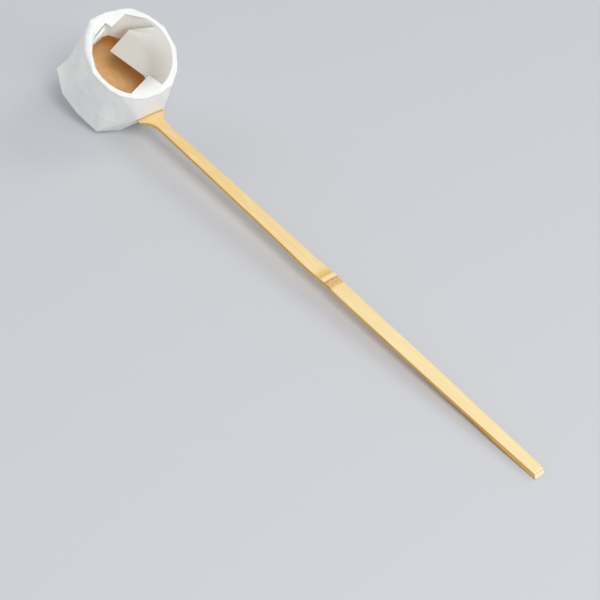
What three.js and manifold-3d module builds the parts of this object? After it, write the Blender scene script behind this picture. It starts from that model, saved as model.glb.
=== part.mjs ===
// Tea ceremony ladle: a bamboo cup, a split bamboo handle let into its wall, and one sheet of thin
// white paper wrapped round the cup. Millimetres, +Z up. The ladle lies as it is put down, on the edge
// of the wrapped base under the handle and on the handle's tip, with the handle along +X.
import * as THREE from 'three';
import { ConvexGeometry } from 'three/addons/geometries/ConvexGeometry.js';
import { mergeVertices } from 'three/addons/utils/BufferGeometryUtils.js';
import Module from 'manifold-3d';

const wasm = await Module();
wasm.setup();

// Cup: a length of culm whose node is left in as the floor
const CUP_DIAMETER = 62;
const CUP_HEIGHT = 46.5;
const CUP_WALL = 2.2;
const FLOOR_THICKNESS = 3;
const FOOT_HEIGHT = 1.2; // the node's underside lies this far above the foot ring
const FLOOR_FILLET = 5;
const LIP_BEVEL = 0.4;
const NODE_GROOVE_HEIGHT = 6; // the ring left on the outside where the sheath grew
const NODE_GROOVE_WIDTH = 1.6;
const NODE_GROOVE_DEPTH = 0.4;

// Handle: a strip split from a thicker culm, skin side up
const HANDLE_LENGTH = 367.5; // along its crown, from the cup's wall to the upper edge of the cut end
const HANDLE_THICKNESS = 3.6;
const EDGE_HEIGHT = 1.9; // of the upright edges, below the crown; the flesh side is planed away under them
const UNDERSIDE_INSET = 1.4; // of the flat underside's edges
const UNDERSIDE_TIP_INSET = 0.4; // the same at the tip, which is left fuller
const HANDLE_RISE = THREE.MathUtils.degToRad(27.5); // above the mouth's plane
const HANDLE_HEIGHT = 24.2; // of its crown above the foot, at the cup's wall
const SKIN_RADIUS = 45; // of the culm that it was split from
const HEAD_WIDTH = 21;
const FLARE_RADIUS = 14.5;
const NECK_WIDTH = 7.5;
const NECK_DISTANCE = 21.5; // where the flare ends
const NODE_WIDTH = 10.9;
const NODE_DISTANCE = 185;
const NODE_LENGTH = 18;
const NODE_RISE = 0.5;
const NODE_DIP = 0.2; // the groove on the cup's side of the node
const TIP_WIDTH = 7.4;
const TIP_FULLNESS = 0.8; // how far the edges bow out between the node and the tip
const TIP_SLANT = 2; // the skin side is cut this much shorter
const TENON_WIDTH = 12;
const TENON_PROUD = 0.8; // how far the tenon's end stands out of the cup's inner wall

// Paper: one sheet, in plies that lie on each other
const PAPER_THICKNESS = 0.5;
const CLEARANCE = 0.3; // between any two pieces
const SKIRT_DEPTH = 4; // of the turned-in edge, below the cup's rim
const RIM_CREASES = 16;
const RIM_PEAK = { crease: 9, pull: 2 };
const AWNING_REACH = 7.5; // the paper lies on the handle's head as far out as this
const AWNING_MARGIN = 0.8; // beyond the head, on both sides

// Creases round the base: angle from the handle in degrees, and how far the fold is pulled out
const BASE_CREASES = [
  { angle: 18, pull: 0.2 },
  { angle: 46, pull: 0.6 },
  { angle: 75, pull: 0.4 },
  { angle: 105, pull: 0.8 },
  { angle: 135, pull: 0.5 },
  { angle: 165, pull: 0.8 },
  { angle: 197, pull: 0.5 },
  { angle: 229, pull: 3.7 },
  { angle: 259, pull: 1.6 },
  { angle: 287, pull: 0 },
  { angle: 315, pull: 4.4 },
  { angle: 342, pull: 0.2 },
];

// Corners of the sheet tucked into the mouth. A flap hangs from the rim between two angles. Each corner of
// its free edge hangs from the rim at an angle of its own, and as seen from there it lies inset from the
// wall, aside, and at a depth below the rim.
const FLAPS = [
  {
    from: 8,
    to: 114,
    free: [
      { hangs: 38, inset: 12.5, aside: 0, depth: 18 },
      { hangs: 60, inset: 36.8, aside: 9, depth: 17 },
      { hangs: 104, inset: 11, aside: 14.6, depth: 11 },
    ],
  },
  {
    from: 116,
    to: 236,
    free: [
      { hangs: 122, inset: 2, aside: 0, depth: 27 },
      { hangs: 143, inset: 1.5, aside: 0, depth: 30 },
      { hangs: 166, inset: 2, aside: 0, depth: 27 },
      { hangs: 190, inset: 3.5, aside: 0, depth: 19 },
      { hangs: 215, inset: 5, aside: 0, depth: 11 },
    ],
  },
  {
    from: -34,
    to: 10,
    free: [{ hangs: -6, inset: 12.4, aside: 5.9, depth: 6 }],
  },
];

const ROUND_STEPS = 72;
const PLAN_STEPS = 12; // along each curve of the handle's plan
const SKIN_STEPS = 180;
const FILLET_STEPS = 6;
const FLAP_STEPS = 4; // between two corners of a flap's free edge
const PAST = 2; // how far a cutting tool runs past what it cuts

const cupRadius = CUP_DIAMETER / 2;
const boreRadius = cupRadius - CUP_WALL;
const floorTop = FOOT_HEIGHT + FLOOR_THICKNESS;
const wrapRadius = cupRadius + CLEARANCE + PAPER_THICKNESS;
const wrapFoot = -CLEARANCE - PAPER_THICKNESS;
const wrapTop = CUP_HEIGHT + CLEARANCE + PAPER_THICKNESS;
const skirtOuter = boreRadius - CLEARANCE;
const skirtInner = skirtOuter - PAPER_THICKNESS;

const rad = THREE.MathUtils.degToRad;

// A closed geometry as a solid that can be joined and cut
function solidOf(geometry) {
  const plain = geometry.clone();
  plain.deleteAttribute('normal');
  plain.deleteAttribute('uv');
  const merged = mergeVertices(plain, 1e-4);
  const corners = merged.index.array;
  const triangles = [];
  for (let i = 0; i < corners.length; i += 3) {
    const [a, b, c] = [corners[i], corners[i + 1], corners[i + 2]];
    if (a !== b && b !== c && c !== a) triangles.push(a, b, c);
  }
  return new wasm.Manifold(
    new wasm.Mesh({
      numProp: 3,
      vertProperties: new Float32Array(merged.attributes.position.array),
      triVerts: new Uint32Array(triangles),
    }),
  );
}

function geometryOf(solid) {
  const mesh = solid.getMesh();
  const geometry = new THREE.BufferGeometry();
  geometry.setAttribute('position', new THREE.BufferAttribute(mesh.vertProperties, 3));
  geometry.setIndex(new THREE.BufferAttribute(mesh.triVerts, 1));
  geometry.computeVertexNormals();
  return geometry;
}

// A profile of radius and height turned about the cup's axis
function turned(points, steps = ROUND_STEPS) {
  const geometry = new THREE.LatheGeometry(points, steps);
  return geometry.rotateX(Math.PI / 2);
}

function cylinder(radius, bottom, top) {
  const corners = [
    new THREE.Vector2(0, bottom),
    new THREE.Vector2(radius, bottom),
    new THREE.Vector2(radius, top),
    new THREE.Vector2(0, top),
  ];
  return solidOf(turned(corners));
}

// Handle's own frame: x along its crown from the cup's wall, y across, z out of the skin
const handleFrame = new THREE.Matrix4()
  .makeTranslation(cupRadius, 0, HANDLE_HEIGHT)
  .multiply(new THREE.Matrix4().makeRotationY(-HANDLE_RISE));

function onHandle(along, across, out) {
  return new THREE.Vector3(along, across, out).applyMatrix4(handleFrame);
}

const tenonReach = (CUP_WALL + TENON_PROUD) / Math.cos(HANDLE_RISE) + HANDLE_THICKNESS + PAST;
const skinTop = NODE_RISE + PAST;

// Plan of the handle, head to tip and back, with both edges moved out by a margin
function handlePlan(margin, tipMargin = margin) {
  const half = (width) => width / 2 + margin;
  const tipHalf = TIP_WIDTH / 2 + tipMargin;
  const flare = Math.acos(1 - (HEAD_WIDTH - NECK_WIDTH) / 2 / FLARE_RADIUS);
  const end = HANDLE_LENGTH + TIP_SLANT + PAST;
  const bowAt = (NODE_DISTANCE + end) / 2;
  const bow = (half(NODE_WIDTH) + tipHalf) / 2 + TIP_FULLNESS;
  const bend = FLARE_RADIUS - margin;
  const bendCentre = NECK_WIDTH / 2 + FLARE_RADIUS;
  const edge = new THREE.Path();
  edge.moveTo(-tenonReach, half(HEAD_WIDTH));
  edge.lineTo(NECK_DISTANCE - bend * Math.sin(flare), bendCentre - bend * Math.cos(flare));
  edge.absarc(NECK_DISTANCE, bendCentre, bend, -Math.PI / 2 - flare, -Math.PI / 2);
  edge.lineTo(NODE_DISTANCE, half(NODE_WIDTH));
  edge.quadraticCurveTo(bowAt, bow, end, tipHalf);
  const near = edge.getPoints(PLAN_STEPS);
  const far = near.map((p) => new THREE.Vector2(p.x, -p.y));
  return [...far, ...near.reverse()];
}

// A plan drawn on the handle's crown plane, as a solid between two levels that may taper to a lower plan
function onPlan(plan, bottom, top, lowerPlan = plan) {
  const count = plan.length;
  const points = [
    ...lowerPlan.map((p) => new THREE.Vector3(p.x, p.y, bottom)),
    ...plan.map((p) => new THREE.Vector3(p.x, p.y, top)),
  ];
  const triangles = [];
  for (const [a, b, c] of THREE.ShapeUtils.triangulateShape(plan, [])) {
    triangles.push(c, b, a, count + a, count + b, count + c);
  }
  for (let i = 0; i < count; i += 1) {
    const next = (i + 1) % count;
    triangles.push(i, next, count + next, i, count + next, count + i);
  }
  const geometry = new THREE.BufferGeometry().setFromPoints(points);
  geometry.setIndex(triangles);
  return solidOf(geometry.applyMatrix4(handleFrame));
}

// The culm that the strip was split from, its skin dipping and rising at the node
function skin(growth) {
  const radius = SKIN_RADIUS + growth;
  const points = [
    [-tenonReach - PAST, 0],
    [NODE_DISTANCE - NODE_LENGTH / 2, 0],
    [NODE_DISTANCE - NODE_LENGTH / 4, -NODE_DIP],
    [NODE_DISTANCE - NODE_LENGTH / 12, NODE_RISE * 0.9],
    [NODE_DISTANCE + NODE_LENGTH / 12, NODE_RISE],
    [NODE_DISTANCE + NODE_LENGTH / 4, NODE_RISE * 0.6],
    [NODE_DISTANCE + NODE_LENGTH / 2, 0],
    [HANDLE_LENGTH + TIP_SLANT + PAST, 0],
  ].map(([along, out]) => new THREE.Vector2(radius + out, along));
  const profile = [new THREE.Vector2(0, points[0].y), ...points, new THREE.Vector2(0, points.at(-1).y)];
  const geometry = turned(profile, SKIN_STEPS);
  geometry.rotateY(Math.PI / 2).translate(0, 0, -SKIN_RADIUS);
  return solidOf(geometry.applyMatrix4(handleFrame));
}

// Everything on the handle's side of its slanted end cut
function endCut() {
  const lean = TIP_SLANT / HANDLE_THICKNESS;
  const side = new THREE.Shape([
    new THREE.Vector2(-tenonReach - PAST, -HANDLE_THICKNESS - PAST),
    new THREE.Vector2(HANDLE_LENGTH + TIP_SLANT + lean * PAST, -HANDLE_THICKNESS - PAST),
    new THREE.Vector2(HANDLE_LENGTH - lean * skinTop, skinTop),
    new THREE.Vector2(-tenonReach - PAST, skinTop),
  ]);
  const breadth = HEAD_WIDTH + 2 * PAST;
  const geometry = new THREE.ExtrudeGeometry(side, { depth: breadth, bevelEnabled: false });
  geometry.rotateX(Math.PI / 2).translate(0, breadth / 2, 0);
  return solidOf(geometry.applyMatrix4(handleFrame));
}

function tenonPlan(margin) {
  const half = TENON_WIDTH / 2 + margin;
  return [
    new THREE.Vector2(-tenonReach, -half),
    new THREE.Vector2(PAST, -half),
    new THREE.Vector2(PAST, half),
    new THREE.Vector2(-tenonReach, half),
  ];
}

function makeHandle() {
  const plan = handlePlan(0);
  const underside = handlePlan(-UNDERSIDE_INSET, -UNDERSIDE_TIP_INSET);
  const planed = onPlan(plan, -HANDLE_THICKNESS, -EDGE_HEIGHT, underside);
  const strip = onPlan(plan, -EDGE_HEIGHT, skinTop).add(planed).intersect(skin(0)).intersect(endCut());
  const head = strip.subtract(cylinder(cupRadius + CLEARANCE, -PAST, CUP_HEIGHT + PAST));
  const tenon = onPlan(tenonPlan(0), -HANDLE_THICKNESS, skinTop).intersect(skin(0));
  const bore = cylinder(boreRadius - TENON_PROUD, -PAST, CUP_HEIGHT + PAST);
  return geometryOf(head.add(tenon.subtract(bore)));
}

// A quarter round from the wall to the floor of the bore, as profile points
function floorFillet() {
  const centre = new THREE.Vector2(boreRadius - FLOOR_FILLET, floorTop + FLOOR_FILLET);
  const points = [];
  for (let step = 0; step <= FILLET_STEPS; step += 1) {
    const turn = (-Math.PI / 2) * (step / FILLET_STEPS);
    const offset = new THREE.Vector2(FLOOR_FILLET * Math.cos(turn), FLOOR_FILLET * Math.sin(turn));
    points.push(offset.add(centre));
  }
  return points;
}

function makeCup() {
  const footInner = boreRadius;
  const grooveHalf = NODE_GROOVE_WIDTH / 2;
  const profile = [
    [0, FOOT_HEIGHT],
    [footInner, FOOT_HEIGHT],
    [footInner + LIP_BEVEL, 0],
    [cupRadius - LIP_BEVEL, 0],
    [cupRadius, LIP_BEVEL],
    [cupRadius, NODE_GROOVE_HEIGHT - grooveHalf],
    [cupRadius - NODE_GROOVE_DEPTH, NODE_GROOVE_HEIGHT],
    [cupRadius, NODE_GROOVE_HEIGHT + grooveHalf],
    [cupRadius, CUP_HEIGHT - LIP_BEVEL],
    [cupRadius - LIP_BEVEL, CUP_HEIGHT],
    [boreRadius + LIP_BEVEL, CUP_HEIGHT],
    [boreRadius, CUP_HEIGHT - LIP_BEVEL],
  ].map(([r, z]) => new THREE.Vector2(r, z));
  const whole = solidOf(turned([...profile, ...floorFillet(), new THREE.Vector2(0, floorTop)]));
  const mortise = onPlan(tenonPlan(CLEARANCE), -HANDLE_THICKNESS - CLEARANCE, skinTop);
  return geometryOf(whole.subtract(mortise.intersect(skin(CLEARANCE))));
}

function polar(radius, angle, z) {
  return new THREE.Vector3(radius * Math.cos(angle), radius * Math.sin(angle), z);
}

// Corners of a fold line round the cup: far enough out that the straight folds between them clear it
function foldCorners(creases, z) {
  return creases.map(({ angle, pull }, i) => {
    const before = creases.at(i - 1).angle;
    const after = creases[(i + 1) % creases.length].angle;
    const gap = (from, to) => (to - from + 360) % 360;
    const widest = Math.max(gap(before, angle), gap(angle, after));
    return polar(wrapRadius / Math.cos(rad(widest / 2)) + pull, rad(angle), z);
  });
}

function rimCreases() {
  return Array.from({ length: RIM_CREASES }, (_, i) => ({
    angle: (i * 360) / RIM_CREASES,
    pull: i === RIM_PEAK.crease ? RIM_PEAK.pull : 0,
  }));
}

// The paper is pulled taut over its creases: from base to rim, and out over the handle's head
function paperOuter() {
  const awningHalf = HEAD_WIDTH / 2 + AWNING_MARGIN;
  const awningRise = CLEARANCE + PAPER_THICKNESS;
  const corners = [
    ...foldCorners(BASE_CREASES, wrapFoot),
    ...foldCorners(rimCreases(), wrapTop),
    onHandle(AWNING_REACH, awningHalf, awningRise),
    onHandle(AWNING_REACH, -awningHalf, awningRise),
  ];
  return new ConvexGeometry(corners);
}

// The same form one paper thickness further in
function paperInner() {
  const across = 1 - PAPER_THICKNESS / wrapRadius;
  const middle = (wrapFoot + wrapTop) / 2;
  const upright = 1 - (2 * PAPER_THICKNESS) / (wrapTop - wrapFoot);
  return paperOuter().translate(0, 0, -middle).scale(across, across, upright).translate(0, 0, middle);
}

// What the paper leaves free inside: the cup with its clearance, and the mouth within the turned-in skirt
function paperHollow() {
  const profile = [
    [0, -CLEARANCE],
    [cupRadius + CLEARANCE, -CLEARANCE],
    [cupRadius + CLEARANCE, CUP_HEIGHT + CLEARANCE],
    [skirtOuter, CUP_HEIGHT + CLEARANCE],
    [skirtOuter, CUP_HEIGHT - SKIRT_DEPTH],
    [skirtInner, CUP_HEIGHT - SKIRT_DEPTH],
    [skirtInner, wrapTop + PAST],
    [0, wrapTop + PAST],
  ].map(([r, z]) => new THREE.Vector2(r, z));
  return solidOf(turned(profile));
}

// A thin plate between two rows of points, one paper thickness deep on the side that a vector points to
function plate(rowA, rowB, towards) {
  const count = rowA.length;
  const middle = Math.floor(count / 2);
  const across = rowB[middle].clone().sub(rowA[middle]);
  const offset = rowA[middle + 1].clone().sub(rowA[middle]).cross(across).setLength(PAPER_THICKNESS);
  const sameSide = offset.dot(towards) > 0;
  if (!sameSide) offset.negate();
  const top = sameSide ? [...rowB, ...rowA] : [...rowA, ...rowB];
  const points = [...top, ...top.map((p) => p.clone().add(offset))];
  const below = top.length;
  const triangles = [];
  const quad = (a, b, c, d) => triangles.push(a, b, c, a, c, d);
  for (let i = 0; i + 1 < count; i += 1) {
    const [a, b, c, d] = [i, i + 1, count + i + 1, count + i];
    quad(a, b, c, d);
    quad(below + d, below + c, below + b, below + a);
    quad(b, a, below + a, below + b);
    quad(d, c, below + c, below + d);
  }
  const last = count - 1;
  quad(0, count, below + count, below);
  quad(count + last, last, below + last, below + count + last);
  const geometry = new THREE.BufferGeometry().setFromPoints(points);
  geometry.setIndex(triangles);
  return solidOf(geometry);
}

// One tucked-in corner of the sheet: from the skirt to its free edge, in straight lines
function flap({ from, to, free }) {
  const hangRadius = (skirtInner + skirtOuter) / 2;
  const onSkirt = (angle, depth) => polar(hangRadius, rad(angle), CUP_HEIGHT - depth);
  const axis = new THREE.Vector3(0, 0, 1);
  const corners = free.map(({ hangs, inset, aside, depth }) => ({
    hangs,
    point: new THREE.Vector3(skirtInner - inset, aside, CUP_HEIGHT - depth).applyAxisAngle(axis, rad(hangs)),
  }));
  const lowest = SKIRT_DEPTH - PAPER_THICKNESS;
  const chain = [
    { hangs: from, point: onSkirt(from, lowest) },
    ...corners,
    { hangs: to, point: onSkirt(to, lowest) },
  ];
  const rim = [];
  const edge = [];
  for (let i = 0; i < FLAP_STEPS * (chain.length - 1) + 1; i += 1) {
    const near = chain[Math.floor(i / FLAP_STEPS)];
    const far = chain[Math.min(Math.floor(i / FLAP_STEPS) + 1, chain.length - 1)];
    const share = (i % FLAP_STEPS) / FLAP_STEPS;
    rim.push(onSkirt(THREE.MathUtils.lerp(near.hangs, far.hangs, share), PAPER_THICKNESS));
    edge.push(near.point.clone().lerp(far.point, share));
  }
  return plate(rim, edge, polar(-1, rad((from + to) / 2), -1));
}

function makePaperWrap() {
  const besideCup = solidOf(paperInner()).subtract(cylinder(cupRadius, wrapFoot, wrapTop));
  const passage = onPlan(handlePlan(CLEARANCE), -HANDLE_THICKNESS - CLEARANCE, CLEARANCE);
  const hollow = paperHollow().add(besideCup).add(passage);
  let paper = solidOf(paperOuter()).subtract(hollow);
  for (const corner of FLAPS) paper = paper.add(flap(corner));
  return geometryOf(paper);
}

function piece(name, geometry, material) {
  const mesh = new THREE.Mesh(geometry, new THREE.MeshStandardMaterial(material));
  mesh.name = name;
  return mesh;
}

// Turned until the base crease under the handle and the handle's tip lie on one level
function restTilt() {
  const foot = foldCorners(BASE_CREASES, wrapFoot)[0];
  const tip = onHandle(HANDLE_LENGTH + TIP_SLANT, 0, -HANDLE_THICKNESS);
  return Math.atan2(tip.z - foot.z, tip.x - foot.x);
}

const assembly = new THREE.Group();
assembly.add(piece('cup', makeCup(), { color: 0xc8975a, roughness: 0.6, metalness: 0 }));
assembly.add(piece('handle', makeHandle(), { color: 0xe9c47c, roughness: 0.45, metalness: 0 }));
assembly.add(piece('paper_wrap', makePaperWrap(), { color: 0xf3f5f3, roughness: 0.9, metalness: 0 }));
assembly.rotation.y = restTilt();

// The origin is under the middle of the whole ladle, on the surface that it lies on
const ladle = new THREE.Group();
ladle.add(assembly);
ladle.updateMatrixWorld(true);
const reach = new THREE.Box3().setFromObject(ladle, true);
assembly.position.set(-(reach.min.x + reach.max.x) / 2, -(reach.min.y + reach.max.y) / 2, -reach.min.z);
ladle.updateMatrixWorld(true);

export default ladle;
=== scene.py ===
"""Tea ceremony ladle, lying as it is put down: a bamboo cup, a split bamboo handle let into its wall, and
one sheet of thin white paper folded round the cup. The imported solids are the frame, and each piece is
modelled again here in full detail, in the same place."""
import math

import bmesh
import bpy
from mathutils import Matrix, Vector, noise


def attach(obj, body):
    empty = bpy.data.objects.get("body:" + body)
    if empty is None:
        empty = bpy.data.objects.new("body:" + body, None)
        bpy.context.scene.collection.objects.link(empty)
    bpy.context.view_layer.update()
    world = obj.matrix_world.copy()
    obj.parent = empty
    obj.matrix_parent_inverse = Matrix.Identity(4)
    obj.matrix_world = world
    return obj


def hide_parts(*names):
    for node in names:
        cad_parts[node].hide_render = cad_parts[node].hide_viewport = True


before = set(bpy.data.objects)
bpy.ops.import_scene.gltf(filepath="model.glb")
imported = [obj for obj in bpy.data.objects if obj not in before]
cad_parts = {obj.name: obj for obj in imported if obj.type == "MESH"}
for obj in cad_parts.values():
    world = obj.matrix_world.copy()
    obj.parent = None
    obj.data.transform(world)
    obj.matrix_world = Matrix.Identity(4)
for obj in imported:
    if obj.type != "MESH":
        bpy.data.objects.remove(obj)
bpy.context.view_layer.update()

# Lengths are millimetres and angles are degrees, except where a note says otherwise
MM = 0.001
# Points nearer to each other than this are one point
NEAR = 0.01
# Faces that meet at less than these angles are shaded as one surface
CUP_SMOOTH = 40
HANDLE_SMOOTH = 35
PAPER_SMOOTH = 28

# Cup: one length of culm, a little longer across one way than the other, as it grows
CUP_RADIUS = 31.0
BORE_RADIUS = 28.8
CUP_HEIGHT = 46.5
FLOOR_LEVEL = 4.2
FLOOR_ROUND = 5.0
FLOOR_ROUND_STEPS = 12
FOOT_HOLLOW = 1.2
LIP_DROP = 0.9
OVAL = 0.03
OVAL_TURN = 130
CUP_STEPS = 144
# The scar that the sheath left outside: its level, then how far up and how deep each point of it lies
SCAR_LEVEL = 6.0
SCAR = [(-0.9, 0), (-0.4, 0.25), (0, 0.4), (0.4, 0.25), (0.9, 0)]

# Handle: distances along it start at the cup's wall, and heights go down from the skin's crown
HANDLE_THICKNESS = 3.6
EDGE_HEIGHT = 1.9
EDGE_ROUND = 0.3
EDGE_ANGLE = 30
UNDERSIDE_INSET = 1.4
SKIN_RADIUS = 45.0
SKIN_SHARES = (1, 0.8, 0.55, 0.28, 0)
HEAD_HALF = 10.5
NECK_HALF = 3.75
NECK_ALONG = 21.5
FLARE_RADIUS = 14.5
NODE_ALONG = 185.0
NODE_HALF = 5.45
TIP_HALF = 3.7
TIP_ALONG = 369.5
TIP_SLANT = 2.0
# From the node the width follows a curve whose middle point is pulled out, to an end a little past the tip
TAPER_BOW = 0.8
TAPER_END = 371.5
# Towards the tip the underside is planed wider, over this length and by this much
PLANED_LENGTH = 45
PLANED_WIDER = 1.2
# How near to a level of the section a vertex is picked
PICK_MARGIN = 0.2
# Rounded swells about the node: how far past it, how high, how wide
SIDEWAYS_SWELLS = [(4, 0.4, 9), (-19, -0.45, 13)]
SKIN_SWELLS = [(-1.6, -0.32, 0.8), (1.5, 0.5, 2.1), (5.9, 0.22, 2.2)]
# Where the section is set: head and flare, neck, node, and on to the tip
STATIONS = [
    -8, 0, 5, 9.25, 10.2, 11.3, 12.5, 13.8, 15.2, 16.8, 18.6, 20, NECK_ALONG,
    30, 45, 70, 95, 120, 140, 150, 158, 166, 172,
    *[176 + 0.75 * step for step in range(28)],
    200, 205, 215, 235, 255, 275, 295, 315, 335, 350, 360, 366, TIP_ALONG,
]

# Joint of cup and handle: a tenon on the head goes through a mortise in the wall
CLEARANCE = 0.3
TENON_HALF = 6.0
TENON_BACK = -12
TENON_FRONT = 2
TENON_TOP = -0.4
TENON_PROUD = 0.8
# The round cutter that shapes the head and the tenon to the wall
CUTTER_SIDES = 192
CUTTER_HEIGHT = 160
CUTTER_LEVEL = 24

# Where the cup's foot stands and how far the cup leans; where the handle leaves the wall and how far it
# rises. All are as in the solids, and both turns are in radians.
CUP_SPOT = Vector((-189.5985, 0.6574, 16.8620))
CUP_LEAN = 0.52998752
HANDLE_SPOT = Vector((CUP_RADIUS, 0, 24.2))
HANDLE_RISE = math.radians(27.5)
cup_place = Matrix.Translation(CUP_SPOT * MM) @ Matrix.Rotation(CUP_LEAN, 4, "Y")
handle_place = cup_place @ Matrix.Translation(HANDLE_SPOT * MM) @ Matrix.Rotation(-HANDLE_RISE, 4, "Y")
oval_place = (
    cup_place
    @ Matrix.Rotation(math.radians(OVAL_TURN), 4, "Z")
    @ Matrix.Diagonal((1 + OVAL, 1 - OVAL, 1, 1))
)


# Modelling by operators

def clear():
    """Leaves edit mode with nothing selected."""
    if bpy.context.object and bpy.context.object.mode != "OBJECT":
        bpy.ops.object.mode_set(mode="OBJECT")
    bpy.ops.object.select_all(action="DESELECT")


def take(piece):
    """Makes a piece the only one that operators act on."""
    clear()
    piece.select_set(True)
    bpy.context.view_layer.objects.active = piece


def trace(name, points):
    """A line of edges through points, each vertex extruded from the last; left in edit mode."""
    clear()
    bpy.ops.mesh.primitive_plane_add(size=MM)
    piece = bpy.context.object
    piece.name = name
    bpy.ops.object.mode_set(mode="EDIT")
    bpy.ops.mesh.select_mode(type="VERT")
    bpy.ops.mesh.select_all(action="SELECT")
    bpy.ops.mesh.merge(type="CENTER")
    bpy.ops.transform.translate(value=Vector(points[0]) * MM)
    for here, there in zip(points, points[1:]):
        step = (Vector(there) - Vector(here)) * MM
        bpy.ops.mesh.extrude_region_move(TRANSFORM_OT_translate={"value": step})
    return piece


def pick(piece, test):
    """Selects the vertices whose place passes a test, in edit mode."""
    mesh = bmesh.from_edit_mesh(piece.data)
    for vertex in mesh.verts:
        vertex.select_set(test(vertex.co / MM))
    mesh.select_flush(True)
    bmesh.update_edit_mesh(piece.data)


def settle(piece, place):
    """Moves a piece from the frame that it was modelled in to its place, which its mesh then holds."""
    take(piece)
    piece.matrix_world = place
    bpy.ops.object.transform_apply(location=True, rotation=True, scale=True)


def refine(piece, kind, **settings):
    """Adds a modifier and applies it."""
    take(piece)
    modifier = piece.modifiers.new(kind.title(), kind)
    for key, value in settings.items():
        setattr(modifier, key, value)
    bpy.ops.object.modifier_apply(modifier=modifier.name)


def combine(piece, tool, operation):
    """Cuts a piece by a tool, or joins the tool to it, and removes the tool."""
    refine(piece, "BOOLEAN", object=tool, operation=operation, solver="EXACT")
    bpy.data.objects.remove(tool)


def smooth(piece, angle):
    """Shades a piece smooth, but for the edges where its faces turn by more than an angle."""
    take(piece)
    bpy.ops.object.shade_smooth_by_angle(angle=math.radians(angle))


def round_cutter(radius):
    """A tall cylinder about the cup's axis, oval as the culm."""
    clear()
    depth = CUTTER_HEIGHT * MM
    bpy.ops.mesh.primitive_cylinder_add(vertices=CUTTER_SIDES, radius=radius * MM, depth=depth)
    cutter = bpy.context.object
    settle(cutter, oval_place @ Matrix.Translation((0, 0, CUTTER_LEVEL * MM)))
    return cutter


def tenon_block(margin):
    """The tenon's block on the handle, or the mortise's with a margin."""
    clear()
    bpy.ops.mesh.primitive_cube_add(size=1)
    block = bpy.context.object
    low, high = -HANDLE_THICKNESS - margin, TENON_TOP + margin
    size = Vector((TENON_FRONT - TENON_BACK, 2 * (TENON_HALF + margin), high - low))
    centre = Vector(((TENON_BACK + TENON_FRONT) / 2, 0, (low + high) / 2))
    settle(block, handle_place @ Matrix.Translation(centre * MM) @ Matrix.Diagonal((size * MM).to_4d()))
    return block


# Cup: turned from its profile

def cup_profile():
    """Distances from the axis and heights: the foot, the outside, the lip, the bore and the floor."""
    foot = [
        (0, FOOT_HOLLOW), (14, FOOT_HOLLOW), (CUP_RADIUS - 2.8, FOOT_HOLLOW), (CUP_RADIUS - 2.2, 0.8),
        (CUP_RADIUS - 1.9, 0.15), (CUP_RADIUS - 1.5, 0), (CUP_RADIUS - 0.5, 0), (CUP_RADIUS - 0.1, 0.15),
        (CUP_RADIUS, 0.5),
    ]
    scar = [(CUP_RADIUS - deep, SCAR_LEVEL + up) for up, deep in SCAR]
    lip = [
        (CUP_RADIUS, CUP_HEIGHT - 0.4), (CUP_RADIUS - 0.1, CUP_HEIGHT - 0.1),
        (CUP_RADIUS - 0.35, CUP_HEIGHT), (BORE_RADIUS + 0.5, CUP_HEIGHT),
        (BORE_RADIUS + 0.2, CUP_HEIGHT - 0.1), (BORE_RADIUS + 0.05, CUP_HEIGHT - 0.35),
        (BORE_RADIUS, CUP_HEIGHT - LIP_DROP),
    ]
    fillet = []
    for step in range(FLOOR_ROUND_STEPS + 1):
        turn = -math.pi / 2 * step / FLOOR_ROUND_STEPS
        fillet.append((
            BORE_RADIUS - FLOOR_ROUND + FLOOR_ROUND * math.cos(turn),
            FLOOR_LEVEL + FLOOR_ROUND + FLOOR_ROUND * math.sin(turn),
        ))
    floor = [(17, FLOOR_LEVEL - 0.15), (9, FLOOR_LEVEL - 0.4), (0, FLOOR_LEVEL - 0.5)]
    return foot + scar + lip + fillet + floor


def make_cup():
    cup = trace("bamboo_cup", [(radius, 0, height) for radius, height in cup_profile()])
    bpy.ops.mesh.select_all(action="SELECT")
    bpy.ops.mesh.spin(steps=CUP_STEPS, angle=2 * math.pi, center=(0, 0, 0), axis=(0, 0, 1))
    bpy.ops.mesh.select_all(action="SELECT")
    bpy.ops.mesh.remove_doubles(threshold=NEAR * MM)
    bpy.ops.mesh.normals_make_consistent(inside=False)
    settle(cup, oval_place)
    combine(cup, tenon_block(CLEARANCE), "DIFFERENCE")
    smooth(cup, CUP_SMOOTH)
    return cup


# Handle: a section at the head, drawn out to the tip from station to station

def handle_half(along):
    """Half the handle's width at a distance along it."""
    flare = math.acos(1 - (HEAD_HALF - NECK_HALF) / FLARE_RADIUS)
    if along <= NECK_ALONG - FLARE_RADIUS * math.sin(flare):
        return HEAD_HALF
    if along <= NECK_ALONG:
        back = NECK_ALONG - along
        return NECK_HALF + FLARE_RADIUS - math.sqrt(FLARE_RADIUS ** 2 - back ** 2)
    if along <= NODE_ALONG:
        return NECK_HALF + (NODE_HALF - NECK_HALF) * (along - NECK_ALONG) / (NODE_ALONG - NECK_ALONG)
    share = (along - NODE_ALONG) / (TAPER_END - NODE_ALONG)
    bow = (NODE_HALF + TIP_HALF) / 2 + TAPER_BOW
    return (1 - share) ** 2 * NODE_HALF + 2 * share * (1 - share) * bow + share ** 2 * TIP_HALF


def swell(rows, along):
    """The sum of rounded swells about the node, at a distance along the handle."""
    return sum(high * math.exp(-((along - NODE_ALONG - past) / wide) ** 2) for past, high, wide in rows)


def wander(along):
    """How far the strip wanders sideways about its node, as bamboo grows."""
    return swell(SIDEWAYS_SWELLS, along)


def node_height(along):
    """How far the skin stands out at the node: a groove where the sheath grew, then the ridge."""
    return swell(SKIN_SWELLS, along)


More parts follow.
